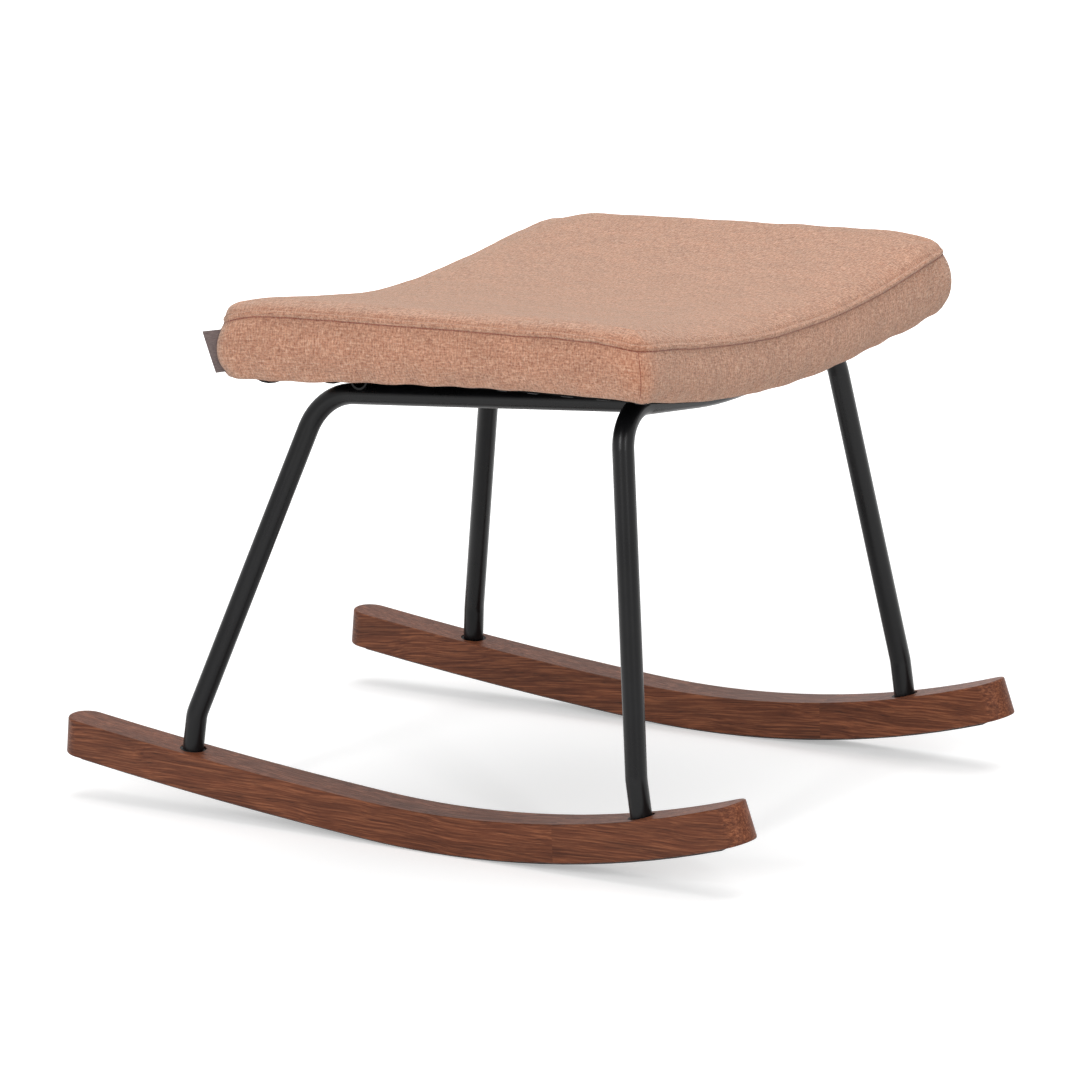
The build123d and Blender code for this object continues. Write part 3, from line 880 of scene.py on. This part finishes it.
def staple(x, y, angle):
    """A flattened wire staple: a crown and two short legs."""
    half, leg, bend, wire, sides = 5.0, 1.3, 0.4, 0.45, 5
    off_cloth = 0.55
    c, s = math.cos(angle), math.sin(angle)
    height = blend(under_hem(x, y, CLOTH_INSET), UNDERSIDE - BELOW_HEM, 0.35) - off_cloth
    right = [(half - bend, 0.0), (half, 0.15), (half, leg)]
    left = [(-along, up) for along, up in reversed(right)]
    path = []
    for along, up in left + right:
        px, py = x + along * c, y + along * s
        path.append(Vector((px, py, dish(py, height + up))))
    return capsule(path, wire, sides)


STAPLE_INSET = CLOTH_INSET + 2.2
ASTRAY, SKEW = 3, 0.25      # each staple sits and turns a little at random
staples = []
for x in range(int(REAR) + 20, int(FRONT) - 12, 29):
    for y in (STAPLE_INSET - HALF, HALF - STAPLE_INSET):
        staples.append(staple(x + rng.uniform(-ASTRAY, ASTRAY), y, rng.uniform(-SKEW, SKEW)))
for y in range(-180, 181, 30):
    for x in (REAR + STAPLE_INSET, FRONT - STAPLE_INSET):
        turn = math.pi / 2 + rng.uniform(-SKEW, SKEW)
        staples.append(staple(x, y + rng.uniform(-ASTRAY, ASTRAY), turn))
staple_row = join_up("staples", staples, wire)
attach(staple_row, "root")


# ------------------------------------------------------------------ loop tag
def wall_inset(share):
    """How far the band lies behind its widest line at this share of its height."""
    rows = [(r[2], r[0]) for r in profile if r[1] == "band"]
    for (s0, i0), (s1, i1) in zip(rows, rows[1:]):
        if share <= s1:
            return blend(i0, i1, max(0.0, (share - s0) / (s1 - s0)))
    return rows[-1][1]


def loop_tag():
    """A folded ribbon that leaves the corner seam diagonally and follows its rounding."""
    tag_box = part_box("fabric_tag")
    above = 1.5
    low, high, count = tag_box[0].z / MM, tag_box[1].z / MM + above, 14
    # half the section of the loop: distance out from the wall, and half thickness
    reach = 11.2
    across = [(-2.5, 0.55), (2.0, 0.55), (6.0, 0.5), (9.0, 0.4), (10.6, 0.28), (reach, 0.0)]
    loop = across + [(r, -h) for r, h in reversed(across[:-1])]
    top_edge, bottom_edge = 10.6, 2.4       # what shows beyond the widest line of the band
    sink = 0.04                             # the tag droops by this share of its reach
    out = Vector((-1, -1, 0)).normalized()
    flat = Vector((-1, 1, 0)).normalized()
    cut = CORNER * (1 - math.sqrt(0.5))
    corner = Vector((REAR + cut, -HALF + cut, 0))
    seam, bottom = seam_height(corner.x, corner.y), low_line(corner.x, corner.y)
    verts, faces, uvs = [], [], []
    for n in range(count + 1):
        t = n / count
        z = blend(low, high, t)
        share = (height_at(corner.y, z) - bottom) / (seam - bottom)
        behind = 1.25 * wall_inset(share)
        stretch = (behind + blend(bottom_edge, top_edge, t)) / reach
        curl = math.sin(2.6 * t + 0.4) + 1.1 * (t - 0.5)
        for r, h in loop:
            bend = curl * (max(0.0, r) / reach) ** 2
            along = r * stretch if r > 0 else r
            p = corner + out * (along - behind) + flat * (h + bend)
            verts.append(Vector((p.x, p.y, z - sink * r)))
            uvs.append((r * MM, z * MM))
    width = len(loop)
    for n in range(count):
        for j in range(width):
            a, b = n * width + j, n * width + (j + 1) % width
            faces.append((a, b, b + width, a + width))
    return verts, faces, uvs


tag_verts, tag_faces, tag_uvs = loop_tag()
tag = new_mesh("loop_tag", tag_verts, tag_faces, ribbon)
tag_uv = tag.data.uv_layers.new(name="weave")
for polygon in tag.data.polygons:
    for loop, vertex in zip(polygon.loop_indices, polygon.vertices):
        tag_uv.data[loop].uv = tag_uvs[vertex]
tag_smooth = tag.modifiers.new("smooth", "SUBSURF")
tag_smooth.levels = tag_smooth.render_levels = 1
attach(tag, "root")
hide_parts("fabric_tag")


# ------------------------------------------------------------------ stage, light, camera
def shown_rays(tree):
    """1 for the rays that show the background: camera, glossy and transmission."""
    path = tree.nodes.new("ShaderNodeLightPath")
    seen = path.outputs["Is Camera Ray"]
    for ray in ("Is Glossy Ray", "Is Transmission Ray"):
        either = tree.nodes.new("ShaderNodeMath")
        either.operation = "MAXIMUM"
        tree.links.new(seen, either.inputs[0])
        tree.links.new(path.outputs[ray], either.inputs[1])
        seen = either.outputs[0]
    return seen


def studio_floor():
    """White far away, and near the object white where no shadow falls."""
    s = Shader("studio_floor")
    where = s.coords()
    speck = s.noise(s.mapping(where, (3, 3, 3)), 1.0, 2.0)
    s.set(Base_Color=s.ramp(speck, (0.3, 0.80), (0.7, 0.81)), Roughness=1.0)
    s.set(Specular_IOR_Level=0.0)
    away = s.tree.nodes.new("ShaderNodeVectorMath")
    away.operation = "LENGTH"
    s.link(where, away.inputs[0])
    # lift that the background gets, from 0.3 to 2 metres away from the middle
    fade = s.ramp(s.math("MULTIPLY", away.outputs["Value"], 0.4), (0.12, 0.36), (0.8, 1.0))
    lift = s.tree.nodes.new("ShaderNodeEmission")
    s.link(s.math("MULTIPLY", shown_rays(s.tree), fade), lift.inputs["Strength"])
    both = s.tree.nodes.new("ShaderNodeAddShader")
    s.link(s.bsdf.outputs[0], both.inputs[0])
    s.link(lift.outputs[0], both.inputs[1])
    s.link(both.outputs[0], s.out.inputs[0])
    side, low = 14000.0, -0.05      # just under the felt
    corners = [(-side, -side, low), (side, -side, low), (side, side, low), (-side, side, low)]
    new_mesh("floor", corners, [(0, 1, 2, 3)], s.mat, smooth_faces=False)


studio_floor()


def area(name, place, target, size, power):
    """Soft rectangular lamp that points at the target; metres and watts."""
    lamp = bpy.data.lights.new(name, "AREA")
    lamp.shape = "RECTANGLE"
    lamp.size, lamp.size_y = size
    lamp.energy = power
    obj = bpy.data.objects.new(name, lamp)
    obj.location = place
    obj.rotation_euler = (Vector(target) - Vector(place)).to_track_quat("-Z", "Y").to_euler()
    bpy.context.scene.collection.objects.link(obj)


area("overhead", (0.3, 0.5, 3.2), (0.05, 0, 0.2), (3.0, 3.0), 66)
area("left_softbox", (0.1, -3.2, 1.9), (0.0, 0, 0.25), (0.5, 1.5), 42)
area("right_softbox", (2.8, -1.7, 1.7), (0.1, 0, 0.25), (0.4, 1.3), 24)


def studio_world():
    """White where it is seen, and a weaker even light on everything."""
    world = bpy.data.worlds.new("studio")
    bpy.context.scene.world = world
    world.use_nodes = True
    tree = world.node_tree
    tree.nodes.clear()
    choose = tree.nodes.new("ShaderNodeMixShader")
    tree.links.new(shown_rays(tree), choose.inputs[0])
    light_level, shown_level = 0.45, 1.0
    for socket, level in ((choose.inputs[1], light_level), (choose.inputs[2], shown_level)):
        background = tree.nodes.new("ShaderNodeBackground")
        background.inputs["Color"].default_value = (1, 1, 1, 1)
        background.inputs["Strength"].default_value = level
        tree.links.new(background.outputs[0], socket)
    out = tree.nodes.new("ShaderNodeOutputWorld")
    tree.links.new(choose.outputs[0], out.inputs[0])


studio_world()

# the photograph's camera: place in metres, and the direction it stands in from the stool
CAMERA_PLACE = (2.2086, -3.1295, 1.0904)
AZIMUTH, ELEVATION, ROLL = (math.radians(a) for a in (-54.9005, 13.2458, -2.5401))
camera_data = bpy.data.cameras.new("photo_camera")
camera_data.lens = 172.93
camera_data.sensor_width = 36.0
camera_data.clip_end = 100
camera = bpy.data.objects.new("photo_camera", camera_data)
bpy.context.scene.collection.objects.link(camera)
level = math.cos(ELEVATION)
back = Vector((level * math.cos(AZIMUTH), level * math.sin(AZIMUTH), math.sin(ELEVATION)))
upright = back.to_track_quat("Z", "Y").to_matrix().to_4x4()
turned = upright @ Matrix.Rotation(ROLL, 4, "Z")
camera.matrix_world = Matrix.Translation(CAMERA_PLACE) @ turned
bpy.context.scene.camera = camera
bpy.context.scene.view_settings.view_transform = "Standard"
